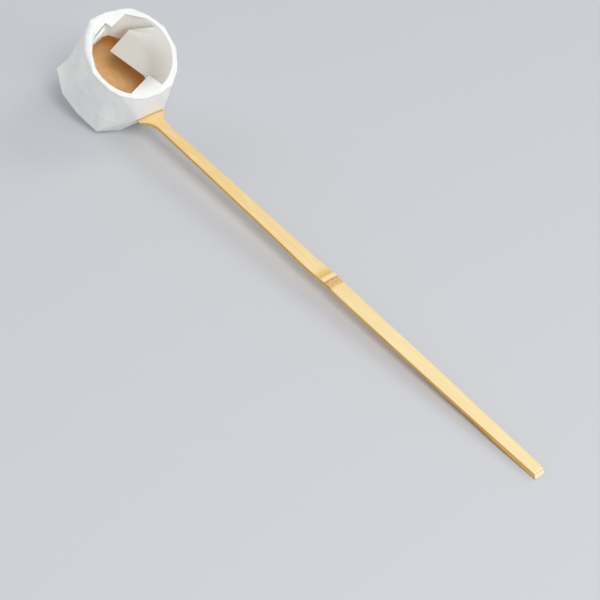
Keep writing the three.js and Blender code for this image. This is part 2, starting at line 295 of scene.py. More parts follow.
def handle_section():
    """The section at the head: a flat underside, slanted edges and a skin with a slight crown."""
    half = handle_half(STATIONS[0])
    skin = [(share * half, -(share * half) ** 2 / (2 * SKIN_RADIUS)) for share in SKIN_SHARES]
    side = [(half - UNDERSIDE_INSET, -HANDLE_THICKNESS), (half, -EDGE_HEIGHT), *skin]
    return side + [(-across, out) for across, out in reversed(side[:-1])]


def draw_out(handle):
    """Extrudes the section through the stations, and gives it its width and its skin's height at each."""
    for here, there in zip(STATIONS, STATIONS[1:]):
        widen = handle_half(there) / handle_half(here)
        step = Vector((there - here, wander(there) - wander(here), 0)) * MM
        bpy.ops.mesh.extrude_region_move(TRANSFORM_OT_translate={"value": step})
        bpy.ops.transform.resize(value=(1, widen, 1), center_override=(0, wander(there) * MM, 0))
        pick(handle, lambda spot: spot.x > there - NEAR and spot.z > -EDGE_HEIGHT + PICK_MARGIN)
        crown_level = (0, 0, node_height(here) * MM)
        bpy.ops.transform.resize(value=(1, 1, widen ** 2), center_override=crown_level)
        bpy.ops.transform.translate(value=(0, 0, (node_height(there) - node_height(here)) * MM))
        pick(handle, lambda spot: spot.x > there - NEAR)


def shape_tip(handle):
    """Slants the end back, first at the skin and then at the edges, and planes the underside wider."""
    skin_level, edge_level = -EDGE_HEIGHT + PICK_MARGIN, -EDGE_HEIGHT - PICK_MARGIN
    for level, share in ((skin_level, 1), (edge_level, 1 - EDGE_HEIGHT / HANDLE_THICKNESS)):
        pick(handle, lambda spot: spot.x > TIP_ALONG - NEAR and spot.z > level)
        bpy.ops.transform.translate(value=(-TIP_SLANT * share * MM, 0, 0))
    planed = TIP_ALONG - PLANED_LENGTH
    pick(handle, lambda spot: spot.x > planed and spot.z < -HANDLE_THICKNESS + PICK_MARGIN)
    bpy.ops.transform.resize(value=(1, PLANED_WIDER, 1), center_override=(0, 0, 0))


def let_in(handle):
    """Cuts the head to the cup's wall and joins the tenon to it, which ends a little inside the bore."""
    combine(handle, round_cutter(CUP_RADIUS + CLEARANCE), "DIFFERENCE")
    tenon = tenon_block(0)
    combine(tenon, round_cutter(BORE_RADIUS - TENON_PROUD), "DIFFERENCE")
    combine(handle, tenon, "UNION")
    take(handle)
    bpy.ops.object.mode_set(mode="EDIT")
    bpy.ops.mesh.select_all(action="SELECT")
    bpy.ops.mesh.remove_doubles(threshold=NEAR * MM)
    bpy.ops.mesh.dissolve_degenerate(threshold=NEAR * MM)
    bpy.ops.mesh.delete_loose()


def make_handle():
    handle = trace("bamboo_handle", [(STATIONS[0], across, out) for across, out in handle_section()])
    bpy.ops.mesh.select_all(action="SELECT")
    bpy.ops.mesh.edge_face_add()
    draw_out(handle)
    shape_tip(handle)
    bpy.ops.mesh.select_all(action="SELECT")
    bpy.ops.mesh.normals_make_consistent(inside=False)
    corner = math.radians(EDGE_ANGLE)
    refine(handle, "BEVEL", width=EDGE_ROUND * MM, segments=3, limit_method="ANGLE", angle_limit=corner)
    settle(handle, handle_place)
    let_in(handle)
    smooth(handle, HANDLE_SMOOTH)
    return handle


# Paper: one sheet, folded over the cup's base, drawn up its wall and over its rim, its corners tucked in.
# It is modelled in the cup's frame, and angles go round the cup from the handle.

PLY = 0.15
WRAP_SLACK = 0.6
WRAP_FOOT = -0.8
WRAP_TOP = 47.1
WALL_END = 45.8
# Inside the mouth the paper lies this far off the bore
LINING = 0.4

# Folds round the base: angle, how far the fold is pulled out, how soon that fades upwards
BASE_FOLDS = [
    (18, 0.4, 1), (46, 1.2, 1), (75, 0.4, 1), (105, 0.3, 1), (135, 2.0, 3), (165, 0.3, 1), (197, 0.9, 1),
    (229, 4.1, 8), (259, 1.4, 1.6), (287, -0.4, 1), (315, 3.5, 1.5), (342, -0.5, 1),
]
# Folds round the rim: angle, distance from the axis
RIM_FOLDS = [
    (3, 31.9), (26, 32.6), (48, 32.2), (77, 32.3), (104, 32.9), (126, 32.7), (148, 33.5), (166, 31.6),
    (183, 32.3), (204, 34.3), (225, 32.2), (250, 31.8), (275, 32.3), (300, 33.2), (314, 33.4), (329, 32.6),
    (345, 32.1),
]
# Over the handle's head the sheet stands out to a corner on each side, and is open below for the head
AWNING_CORNER = Vector((37.3, 10.9, 28.4))
SLOT_TURN = 17
SLOT_LEVEL = 22.3
HEAD_EDGE_LEVEL = 25.0
# Near the opening the paper bends with the head's skin: how far round and up, how closely, and the most
# that the square of the distance from the middle counts
HEAD_BEND_TURN = 12
HEAD_BEND_HEIGHT = 7
HEAD_BEND_SHARE = 0.8
HEAD_BEND_LIMIT = 120
# The wall is drawn in beside the corner that is pinched out at the base
HOLLOW_TURNS = (186, 228)
HOLLOW_DEPTH = 1.5

# The wall stands off its folds in facets of two sizes and fine crinkles, calmer at the base and the head.
# Facets: how far round and up each goes, how high they stand, and how far round the broad ones go, and up
# the fine ones, until they have slanted by one
STAND_OFF = 0.26
BROAD_TURN = 17
BROAD_RISE = 10
BROAD_HEIGHT = 0.55
BROAD_SLANT = 60
FINE_TURN = 8
FINE_RISE = 6
FINE_HEIGHT = 0.2
FINE_SLANT = 30
CALM_HEIGHT = 4
CALM_TURN = 8
CALM_SHARE = 0.45
CRINKLE_STRETCH = 0.35
# Crinkles: their size and their height
WALL_CRINKLE = (4, 0.24)
RIM_CRINKLE = (9, 0.3)
TUCK_CRINKLE = (8, 0.3)
BASE_CRINKLE = (10, 0.08)
# Corners of facets: how finely and how far they wander, what brings noise to a height of about 1, and the
# strides and start at which it is read for them
WANDER_SCALE = 0.9
WANDER_REACH = 0.7
WANDER_SHIFT = Vector((9.3, 4.1, 0))
FACET_GAIN = 1.6
FACET_STRIDES = (7.31, 5.17)
FACET_START = (0.37, 0.61)

# Pleats folded flat under the wall where the sheet's corners come up: angle, and how high they reach
WALL_PLEATS = [(45, 19), (135, 36), (229, 41), (315, 19)]
WALL_PLEAT_FOOT = 2
WALL_PLEAT_SLACKS = (0.18, 0.34)
WALL_PLEAT_COLUMNS = 12
WALL_PLEAT_ROWS = 8
# Half a pleat's width at the cup's foot, as an angle, and what each millimetre up adds to it; how far it
# lifts the wall, and the angle and the height over which that fades
WALL_PLEAT_HALF = 2
WALL_PLEAT_SPREAD = 0.6
WALL_PLEAT_LIFT = 0.32
WALL_PLEAT_FADE = (1.2, 1.5)

# The roll over the rim is tight, but soft where the left tongue goes round it
TIGHT_ROLL = 0.9
SOFT_ROLL = 3.0
SOFT_TURNS = (190, 268)
# The roll's heights, with the share of the rim's unevenness that each has, and the fold over the lip
ROLL_STEPS = [(46.2, 0), (46.7, 0), (47.0, 0.6), (WRAP_TOP, 1)]
FOLD_RADIUS = 29.0
FOLD_LEVEL = 46.95
FOLD_UNEVEN = 0.4

# Plies over the first one: how far they lie above the roll at their ends and more in the middle, how far
# inside its outline, the heights that they follow, and their first step over the lip
UPPER_RISE = 0.1
UPPER_SWELL = 0.35
UPPER_INSET = 0.2
UPPER_HEIGHTS = (46.5, 46.95, WRAP_TOP)
UPPER_STEP = 0.8
UPPER_LEVEL = 47.08
UPPER_ROWS = 12

# The big flap's range of angles, how far off the wall it bends flat, and how its rows crowd to the wall
FLAP_TURNS = (8, 113)
FLAP_BEND = 14
FLAP_CROWDING = 1.6
FLAP_FACET = 10
FLAP_FACET_HEIGHT = 0.3

# The pleat below the left tongue: its range of angles, how deep it goes down behind the tongue, how far in
# from the tongue's edge and how far below it the fold stands, how wide the fold's brow is, and the rows
# from bend to bend
MOUTH_PLEAT_TURNS = (187, 228)
MOUTH_PLEAT_DEPTH = 7.0
MOUTH_PLEAT_GAP = 0.85
MOUTH_PLEAT_DROP = 0.6
MOUTH_PLEAT_BROW = 1.8
MOUTH_PLEAT_ROWS = (5, 5, 3, 7)

# The sheet's mesh: shares of the way out under the base, heights at the base's edge, rows up the wall to
# each height, and rows from the rim to the free edge
BASE_SHARES = (0.02, 0.2, 0.45, 0.7, 0.88, 0.97)
FOOT_HEIGHTS = [WRAP_FOOT, -0.3, 0.5]
WALL_BANDS = [(SLOT_LEVEL, 16), (AWNING_CORNER.z, 5), (WALL_END, 14)]
TUCK_ROWS = sum(MOUTH_PLEAT_ROWS)


def within(value):
    """A share, kept from 0 to 1."""
    return min(1, max(0, value))


def arch(turns, turn):
    """From 0 at both ends of a range of angles to 1 at its middle, and 0 outside it."""
    low, high = turns
    if not low < turn < high:
        return 0
    return math.sin(math.pi * (turn - low) / (high - low))


def before_seam(turn, seam):
    """The same angle as a turn from 0 to 360, a full turn less from a seam on."""
    return turn if turn < seam else turn - 360


def culm(radius, turn):
    """A radius of the culm at an angle round the cup."""
    return radius * (1 + OVAL * math.cos(math.radians(2 * (turn - OVAL_TURN))))


def polar(radius, turn, height):
    """A point by its distance from the axis, its angle and its height."""
    return Vector((radius * math.cos(math.radians(turn)), radius * math.sin(math.radians(turn)), height))


def hang(turn, depth, inset=0):
    """A point of the paper in the mouth, by its angle, its depth below the rim and how far it stands in."""
    return polar(culm(BORE_RADIUS, turn) - LINING - inset, turn, CUP_HEIGHT - depth)


# Free edge of the paper in the mouth: the angle where it comes over the rim, and where the edge is then
FLAP_CORNERS = [Vector((11.9, 10.0, 28.5)), Vector((-12.2, -3.2, 29.5)), Vector((-18.8, 14.1, 35.5))]
TUCKED_EDGE = [
    (-120, hang(-120, 8)), (-90, hang(-90, 7)), (-62, hang(-62, 9)), (-34, hang(-34, 7)), (-6, hang(-6, 9)),
    (8, hang(8, 6)), (38, FLAP_CORNERS[0]), (60, FLAP_CORNERS[1]), (104, FLAP_CORNERS[2]),
    (113, hang(113, 1.6)), (115, hang(115, 27, 1.6)), (143, polar(23.6, 147.5, 21.8)),
    (166, polar(23.1, 173.3, 28.3)), (190, polar(22.1, 194, 34.5)), (213, polar(23.2, 217.2, 35)),
    (238, hang(238, 7)),
]
# Free edges of the plies that lie over the first one, in the same way
HEAD_CORNER = [(-33, polar(29.6, -33, 47.1)), (4, Vector((17.1, 4.6, 43.4))), (15, polar(28.3, 15, 47.0))]
BACK_TONGUE = [
    (126, polar(29.7, 126, 47.1)), (157, polar(28.4, 157, 46.9)), (176, polar(22.4, 183, 44.0)),
    (193, polar(26.4, 191, 46.0)),
]
LEFT_TONGUE = [
    (186, polar(26.8, 188, 46.4)), (204, polar(25.5, 203, 45.5)), (219, polar(26.1, 218, 44.6)),
    (236, polar(26.2, 234, 45.0)), (250, polar(27.2, 249, 46.0)), (268, polar(29.0, 268, 47.05)),
]


def outline(points):
    """The convex outline of flat points, in order."""
    points = sorted({(round(p.x, 5), round(p.y, 5)) for p in points})

    def turns_in(start, middle, end):
        rise = (middle[0] - start[0]) * (end[1] - start[1])
        return rise <= (middle[1] - start[1]) * (end[0] - start[0])

    def chain(row):
        line = []
        for point in row:
            while len(line) > 1 and turns_in(line[-2], line[-1], point):
                line.pop()
            line.append(point)
        return line[:-1]

    return chain(points) + chain(points[::-1])


def reach(shape, turn):
    """How far out an outline lies at an angle."""
    dx, dy = math.cos(math.radians(turn)), math.sin(math.radians(turn))
    for (ax, ay), (bx, by) in zip(shape, shape[1:] + shape[:1]):
        ex, ey = bx - ax, by - ay
        across = dx * ey - dy * ex
        if abs(across) > 1e-9:
            share = (ax * dy - ay * dx) / across
            far = (ax * ey - ay * ex) / across
            if far > 0 and -1e-6 <= share <= 1 + 1e-6:
                return far
    return CUP_RADIUS + WRAP_SLACK


def level_at(height):
    """How far up the sheet a height is, from 0 at the base to 1 at the rim."""
    return (height - WRAP_FOOT) / (WRAP_TOP - WRAP_FOOT)


def fold_radius(index, level):
    """A base fold's distance from the axis, as it still shows at a level."""
    turn, pull, fade = BASE_FOLDS[index]
    before = (turn - BASE_FOLDS[index - 1][0]) % 360
    after = (BASE_FOLDS[(index + 1) % len(BASE_FOLDS)][0] - turn) % 360
    gap = max(before, after) / 2
    snug = max(culm(CUP_RADIUS, turn + side * gap) for side in (-1, 0, 1)) + WRAP_SLACK
    return snug / math.cos(math.radians(gap)) + pull * (1 - level) ** (fade - 1)


def wall_outline(height):
    """The paper's outline at a height, straight from the base's folds to the rim's and over the head."""
    level = level_at(height)
    base = [polar(fold_radius(i, level), fold[0], WRAP_FOOT) for i, fold in enumerate(BASE_FOLDS)]
    rim = [polar(radius, turn, WRAP_TOP) for turn, radius in RIM_FOLDS]
    awning = [AWNING_CORNER, Vector((AWNING_CORNER.x, -AWNING_CORNER.y, AWNING_CORNER.z))]
    points = [low.lerp(high, level) for low in base for high in rim]
    for corner in awning:
        others = base if height <= corner.z else rim
        for other in others:
            points.append(corner.lerp(other, (height - corner.z) / (other.z - corner.z)))
    return outline(points)


def along_edge(chain, turn):
    """A point of a free edge for a column at an angle, straight between the edge's corners."""
    for (low, start), (high, end) in zip(chain, chain[1:]):
        if low <= turn <= high:
            return start.lerp(end, (turn - low) / (high - low))
    return chain[-1][1]


def crinkle(spot, size, height):
    return noise.noise(spot * (1 / size)) * height


def crumple(across, up, seed):
    """Height from about -1 to 1 of flat facets, as thin paper takes when it has been handled."""
    warp = Vector((across, up, seed)) * WANDER_SCALE
    across += noise.noise(warp) * WANDER_REACH
    up += noise.noise(warp + WANDER_SHIFT) * WANDER_REACH
    column, row = math.floor(across), math.floor(up)
    right, above = across - column, up - row

    def corner(i, j):
        x = (column + i) * FACET_STRIDES[0] + FACET_START[0]
        y = (row + j) * FACET_STRIDES[1] + FACET_START[1]
        return noise.noise(Vector((x, y, seed))) * FACET_GAIN

    if right + above < 1:
        low = corner(0, 0)
        return low + (corner(1, 0) - low) * right + (corner(0, 1) - low) * above
    high = corner(1, 1)
    return high + (corner(0, 1) - high) * (1 - right) + (corner(1, 0) - high) * (1 - above)


def wall_pleat_half(height):
    """Half a wall pleat's width at a height, as an angle."""
    return WALL_PLEAT_HALF + WALL_PLEAT_SPREAD * height


def show_through(turn, height):
    """How far the wall is lifted by the pleats folded flat beneath it."""
    fade_turn, fade_height = WALL_PLEAT_FADE
    lift = 0
    for middle, top in WALL_PLEATS:
        off = abs((turn - middle + 180) % 360 - 180)
        inside = within((wall_pleat_half(height) - off) / fade_turn)
        lift = max(lift, inside * within((top - height) / fade_height))
    return WALL_PLEAT_LIFT * lift


def slot_half(height):
    """Half the width of the opening at a height: close round the head, whose sides slant in below."""
    slant = within((HEAD_EDGE_LEVEL - height) / (HEAD_EDGE_LEVEL - SLOT_LEVEL))
    return HEAD_HALF + CLEARANCE - UNDERSIDE_INSET * slant


def hollow(turn, height):
    """How far the wall is drawn in beside the pinched corner."""
    return HOLLOW_DEPTH * arch(HOLLOW_TURNS, turn) * (1 - level_at(height)) ** 2


def turned_in(turn, height):
    """How far the roll over the rim has turned in at a height."""
    size = TIGHT_ROLL + (SOFT_ROLL - TIGHT_ROLL) * arch(SOFT_TURNS, turn)
    share = within(1 + (height - WRAP_TOP) / size)
    return size * (1 - math.sqrt(1 - share ** 2))


def handled(radius, turn, height):
    """How far the wall stands off its outline: broad facets and fine ones, both aslant, crinkles drawn out
    up the wall, and the pleats beneath. The finer grow to the rim."""
    signed = before_seam(turn, 180)
    upper = max(0, height) / WRAP_TOP
    calm = within(height / CALM_HEIGHT)
    if abs(signed) < SLOT_TURN + CALM_TURN:
        calm *= CALM_SHARE
    broad = crumple(signed / BROAD_TURN, height / BROAD_RISE + signed / BROAD_SLANT, seed=2.7)
    fine = crumple(signed / FINE_TURN - height / FINE_SLANT, height / FINE_RISE, seed=8.3)
    facets = broad * BROAD_HEIGHT + fine * FINE_HEIGHT * (0.5 + upper)
    crinkles = crinkle(polar(radius, turn, height * CRINKLE_STRETCH), *WALL_CRINKLE)
    return max(0, STAND_OFF + facets * calm + crinkles * upper + show_through(turn, height))


def wall_column(turn, outlines):
    """Base edge to rim."""
    column = []
    signed = before_seam(turn, 180)
    for height, shape in outlines:
        radius = reach(shape, turn) - hollow(turn, height) - turned_in(turn, height)
        spot = polar(radius + handled(radius, turn, height), turn, height)
        if abs(signed) == SLOT_TURN and SLOT_LEVEL <= height <= AWNING_CORNER.z:
            spot.y = math.copysign(slot_half(height), signed)
        if abs(signed) <= SLOT_TURN + HEAD_BEND_TURN:
            bend = max(0, 1 - abs(height - AWNING_CORNER.z) / HEAD_BEND_HEIGHT)
            spot.z -= min(spot.y ** 2, HEAD_BEND_LIMIT) / (2 * SKIN_RADIUS) * HEAD_BEND_SHARE * bend
        column.append(spot)
    return column


def rim_roll(outer, turn):
    """Round over the cup's lip, from the wall's last point to where the paper hangs in the mouth."""
    radius = math.hypot(outer.x, outer.y) + turned_in(turn, WALL_END)
    uneven = crinkle(outer, *RIM_CRINKLE)
    roll = []
    for height, share in ROLL_STEPS:
        roll.append(polar(radius - turned_in(turn, height), turn, height + uneven * share))
    fold = polar(culm(FOLD_RADIUS, turn), turn, FOLD_LEVEL + uneven * FOLD_UNEVEN)
    band = [roll[-1].lerp(fold, share) for share in (0.4, 0.75, 1)]
    return roll + band + [fold.lerp(hang(turn, LIP_DROP), share) for share in (0.5, 1)]


def tucked(start, end, count):
    """Straight in from the rim to the free edge."""
    rows = []
    for step in range(1, count + 1):
        share = step / count
        spot = start.lerp(end, share)
        spot.z += crinkle(spot, *TUCK_CRINKLE) * math.sin(math.pi * share)
        rows.append(spot)
    return rows


def mouth_pleat(turn, start, end):
    """As tucked, with a pleat: down behind the left tongue, up to a fold by its edge, and down again."""
    edge = along_edge(LEFT_TONGUE, turn)
    inward = Vector((-edge.x, -edge.y, 0)).normalized()
    fold = edge + inward * MOUTH_PLEAT_GAP - Vector((0, 0, MOUTH_PLEAT_DROP))
    brow = fold + inward * MOUTH_PLEAT_BROW - Vector((0, 0, MOUTH_PLEAT_DROP / 2))
    bends = [start, hang(turn, MOUTH_PLEAT_DEPTH), fold, brow, end]
    rows = []
    for here, there, count in zip(bends, bends[1:], MOUTH_PLEAT_ROWS):
        rows += [here.lerp(there, step / count) for step in range(1, count + 1)]
    share = math.sqrt(arch(MOUTH_PLEAT_TURNS, turn))
    return [plain.lerp(spot, share) for plain, spot in zip(tucked(start, end, TUCK_ROWS), rows)]


def flap_column(turn, start, end):
    """The big flap: down the wall, then away from it and flat, in the plane of its three corners."""
    first, second, third = FLAP_CORNERS
    upright = (second - first).cross(third - first)
    wall = hang(turn, 0)
    level = first.z - (upright.x * (wall.x - first.x) + upright.y * (wall.y - first.y)) / upright.z
    wall.z = min(start.z, max(end.z, level))
    far = (end - wall).length
    rows = []
    for step in range(1, TUCK_ROWS + 1):
        share = (step / TUCK_ROWS) ** FLAP_CROWDING
        spot = wall.lerp(end, share)
        spot.z += (start.z - wall.z) * max(0, 1 - share * far / min(FLAP_BEND, far)) ** 2
        facet = crumple(spot.x / FLAP_FACET, spot.y / FLAP_FACET, seed=5.2) * FLAP_FACET_HEIGHT
        spot.z += facet * math.sin(math.pi * share)
        rows.append(spot)
    return rows


def inside_column(turn, start, end):
    """From the rim to the free edge, as the sheet lies there at an angle."""
    if FLAP_TURNS[0] < turn < FLAP_TURNS[1]:
        return flap_column(turn, start, end)
    if MOUTH_PLEAT_TURNS[0] < turn < MOUTH_PLEAT_TURNS[1]:
        return mouth_pleat(turn, start, end)
    return tucked(start, end, TUCK_ROWS)


def upper_ply(chain):
    """Columns, two to a degree, of a ply that comes out from under the rim's roll and lies over it."""
    low, high = chain[0][0], chain[-1][0]
    rim = wall_outline(WRAP_TOP)
    columns = []
    for step in range(2 * (high - low) + 1):
        turn = low + step / 2
        radius = reach(rim, turn)
        rise = UPPER_RISE + UPPER_SWELL * math.sqrt(arch((low, high), turn))
        rise += crinkle(polar(radius, turn, WALL_END), *RIM_CRINKLE)
        radius -= UPPER_INSET
        over = [polar(radius - turned_in(turn, height), turn, height + rise) for height in UPPER_HEIGHTS]
        over.append(polar(radius - turned_in(turn, WRAP_TOP) - UPPER_STEP, turn, UPPER_LEVEL + rise))
        columns.append(over + tucked(over[-1], along_edge(chain, turn), UPPER_ROWS))
    return columns


def wall_pleat(middle, top, slack):
    """Columns of one flat ply of a pleat under the wall."""
    columns = []
    for step in range(WALL_PLEAT_COLUMNS + 1):
        spread = 2 * step / WALL_PLEAT_COLUMNS - 1
        column = []
        for row in range(WALL_PLEAT_ROWS + 1):
            height = WALL_PLEAT_FOOT + (top - WALL_PLEAT_FOOT) * row / WALL_PLEAT_ROWS
            turn = middle + spread * wall_pleat_half(height)
            column.append(polar(culm(CUP_RADIUS, turn) + slack, turn, height))
        columns.append(column)
    return columns


def skin_grid(mesh, columns, closed, gap=None):
    """Faces between neighbouring columns of points, leaving out what a gap test names."""
    rows = [[mesh.verts.new(spot * MM) for spot in column] for column in columns]
    last = len(rows) if closed else len(rows) - 1
    for i in range(last):
        here, there = rows[i], rows[(i + 1) % len(rows)]
        for j in range(len(here) - 1):
            if gap and gap(i, j):
                continue
            mesh.faces.new((here[j], there[j], there[j + 1], here[j + 1]))
    return rows


def skin_sheet(mesh):
    """The sheet itself, a column to a degree, from the middle of the base to the free edge in the mouth."""
    heights = list(FOOT_HEIGHTS)
    for high, count in WALL_BANDS:
        low = heights[-1]
        heights += [low + (high - low) * step / count for step in range(1, count)] + [high]
    outlines = [(height, wall_outline(height)) for height in heights]
    tuck = [*TUCKED_EDGE, (TUCKED_EDGE[0][0] + 360, TUCKED_EDGE[0][1])]
    columns = []
    for turn in range(360):
        wall = wall_column(turn, outlines)
        base = []
        for share in BASE_SHARES:
            spot = wall[0] * share
            base.append(Vector((spot.x, spot.y, WRAP_FOOT + crinkle(spot, *BASE_CRINKLE))))
        roll = rim_roll(wall[-1], turn)
        end = along_edge(tuck, before_seam(turn, tuck[-1][0]))
        columns.append(base + wall + roll + inside_column(turn, roll[-1], end))
    slot_low = len(BASE_SHARES) + heights.index(SLOT_LEVEL)
    slot_high = len(BASE_SHARES) + heights.index(AWNING_CORNER.z)

    def in_slot(i, j):
        return -SLOT_TURN <= before_seam(i, 180) < SLOT_TURN and slot_low <= j < slot_high

    rows = skin_grid(mesh, columns, True, in_slot)
    centre = mesh.verts.new(Vector((0, 0, WRAP_FOOT)) * MM)
    for here, there in zip(rows, rows[1:] + rows[:1]):
        mesh.faces.new((here[0], centre, there[0]))


def make_paper():
    mesh = bmesh.new()
    skin_sheet(mesh)
    for chain in (HEAD_CORNER, BACK_TONGUE, LEFT_TONGUE):
        skin_grid(mesh, upper_ply(chain), False)
    for middle, top in WALL_PLEATS:
        for slack in WALL_PLEAT_SLACKS:
            skin_grid(mesh, wall_pleat(middle, top, slack), False)
    data = bpy.data.meshes.new("paper_wrapping")
    mesh.to_mesh(data)
    mesh.free()
    paper = bpy.data.objects.new("paper_wrapping", data)
    bpy.context.scene.collection.objects.link(paper)
    settle(paper, cup_place)
    refine(paper, "SOLIDIFY", thickness=PLY * MM, offset=-1)
    smooth(paper, PAPER_SMOOTH)
    return paper


# Shader maths

class Shade:
    """A shader value that Python's signs reckon with: each sign adds a Math node."""

    def __init__(self, finish, socket):
        self.finish = finish
        self.socket = socket

    def also(self, output):
        return Shade(self.finish, self.socket.node.outputs[output])

    def __add__(self, other):
        return self.finish.maths("ADD", self, other)

    __radd__ = __add__

    def __sub__(self, other):
        return self.finish.maths("SUBTRACT", self, other)

    def __rsub__(self, other):
        return self.finish.maths("SUBTRACT", other, self)

    def __mul__(self, other):
        return self.finish.maths("MULTIPLY", self, other)

    __rmul__ = __mul__

    def __truediv__(self, other):
        return self.finish.maths("DIVIDE", self, other)

    def __neg__(self):
        return self.finish.maths("MULTIPLY", self, -1)


class Finish:
    """A node material for one of the scene's finishes."""

    def __init__(self, name):
        self.material = bpy.data.materials.new(name)
        self.material.use_nodes = True
        self.tree = self.material.node_tree
        self.shader = self.tree.nodes["Principled BSDF"]

    def node(self, kind, settings, inputs, output=0):
        made = self.tree.nodes.new("ShaderNode" + kind)
        for key, value in settings.items():
            setattr(made, key, value)
        for key, value in inputs.items():
            self.feed(made.inputs[key], value)
        return Shade(self, made.outputs[output])

    def feed(self, socket, value):
        """Links a shader value to a socket, or sets a plain one on it."""
        if isinstance(value, Shade):
            self.tree.links.new(value.socket, socket)
        else:
            socket.default_value = value

    def maths(self, operation, *values):
        return self.node("Math", {"operation": operation}, dict(enumerate(values)))

    def spot(self, place):
        """A point's place in metres, in the frame that its piece was modelled in."""
        back = place.inverted()
        where = self.node("TexCoord", {}, {}, "Object")
        turned = {"Vector": where, "Location": back.to_translation(), "Rotation": back.to_euler()}
        return self.node("Mapping", {"vector_type": "POINT"}, turned)

    def millimetres(self, spot):
        """The three coordinates of a place in metres, in millimetres."""
        x = self.node("SeparateXYZ", {}, {0: spot})
        return [x.also(axis) * (1 / MM) for axis in range(3)]

    def off_axis(self, x, y):
        return self.maths("SQRT", x * x + y * y)

    def ramp(self, value, low, high):
        """From 0 at low to 1 at high, eased at both ends."""
        sockets = {"Value": value, "From Min": low, "From Max": high}
        return self.node("MapRange", {"interpolation_type": "SMOOTHSTEP"}, sockets)

    def bell(self, value, middle, width):
        """1 at a middle value, falling to 0 a width away on both sides."""
        return 1 - self.ramp(self.maths("ABSOLUTE", value - middle), 0, width)

    def span(self, value, begin, full, fade, end):
        """Rises from 0 at begin to 1 at full, and falls from 1 at fade to 0 at end."""
        return self.ramp(value, begin, full) * (1 - self.ramp(value, fade, end))

    def spread(self, x, y, z):
        return self.node("CombineXYZ", {}, {0: x, 1: y, 2: z})

    def grain(self, vector, scale, detail):
        sockets = {"Vector": vector, "Scale": scale, "Detail": detail, "Roughness": 0.55}
        return self.node("TexNoise", {}, sockets)

    def creases(self, vector, scale):
        """0 along wandering lines, and more away from them."""
        return self.maths("ABSOLUTE", self.grain(vector, scale, 2) - 0.5)

    def mix(self, share, low, high):
        settings = {"data_type": "RGBA", "blend_type": "MIX"}
        return self.node("Mix", settings, {0: share, 6: low, 7: high}, 2)

    def bump(self, height, strength, distance):
        sockets = {"Strength": strength, "Distance": distance * MM, "Height": height}
        return self.node("Bump", {}, sockets)

    def give(self, piece, **sockets):
        """Sets the shader's sockets, and gives the finish to a piece."""
        for name, value in sockets.items():
            self.feed(self.shader.inputs[name.replace("_", " ")], value)
        piece.data.materials.clear()
        piece.data.materials.append(self.material)


def tone(red, green, blue):
    """A colour as it is seen on a screen, 0 to 255, for a shader."""
    def linear(part):
        part /= 255
        return part / 12.92 if part <= 0.04045 else ((part + 0.055) / 1.055) ** 2.4
    return (linear(red), linear(green), linear(blue), 1)


# Finishes: each one's colours, and where they begin and are full

# Bamboo skin, with the distances along the handle between which painted light pales it towards the tip
SKIN_AT_CUP = tone(242, 210, 145)
SKIN_LIT_TOWARDS_TIP = tone(248, 227, 175)
SKIN_STREAK = tone(228, 190, 118)
SKIN_CLOUD = tone(250, 236, 198)
SKIN_PAINTED_LIGHT_SPAN = (20, 300)
# Below the skin: the depths between which split fibre takes over, the rind's depth and half its width, and
# how far past the slanted end the cut's colour begins and is full
# Split fibre, its tones warmed towards orange by painted bounce light
SPLIT_PALE_AND_BOUNCE = tone(248, 198, 102)
SPLIT_VESSEL_AND_BOUNCE = tone(224, 163, 70)
SPLIT_DEPTHS = (0.3, 0.6)
RIND = tone(176, 132, 66)
RIND_DEPTH = 0.65
RIND_HALF = 0.35
CUT_PALE = tone(248, 233, 203)
CUT_BUNDLE = tone(206, 164, 108)
CUT_EDGE = (-0.35, -0.2)
# The node's marks, by how far past the node they lie: where the groove's painted shade and the scar begin,
# are full, fade and end, then the middle and half the width of the ridge and of the line, and how ragged the
# line is
GROOVE_SHADE = tone(216, 170, 74)
GROOVE_SHADE_SPAN = (-8, -1, -1, -0.1)
RIDGE = tone(248, 216, 166)
RIDGE_PAST = 1.6
RIDGE_HALF = 2.2
SCAR_SKIN = tone(199, 144, 94)
SCAR_SPAN = (3.4, 4.2, 8.5, 11)
SCAR_LINE = tone(184, 130, 82)
SCAR_LINE_PAST = 3.9
SCAR_LINE_HALF = 0.9
RAGGED = 1.6
# The culm's inside, with the heights over its floor between which the wall takes over, and its outside, with
# how far past the cup's radius that begins and is full
CULM_PALE = tone(249, 210, 149)
CULM_FIBRE = tone(236, 190, 124)
FLOOR_PALE = tone(251, 213, 153)
FLOOR_CLOUD = tone(240, 196, 131)
FLOOR_RING = tone(190, 138, 84)
FLOOR_MEETS = (0.5, 3.5)
CULM_SPECK = tone(178, 126, 74)
CULM_OUTSIDE = tone(226, 196, 130)
OUTSIDE_EDGE = (-0.6, -0.3)
# Paper, and the painted shade on the plies that stand free in the mouth: between which distances from the
# axis that fades, and where it begins and is full towards the handle and upwards
PAPER_WHITE = tone(245, 246, 244)
PAPER_CLOUD = tone(238, 240, 239)
PAPER_FIBRE = tone(226, 228, 226)
MOUTH_PAINTED_SHADE = tone(211, 209, 203)
MOUTH_SHADE_OFF_AXIS = (18, 29)
MOUTH_SHADE_ALONG = (-21, -18)
MOUTH_SHADE_UP = (5, 10)


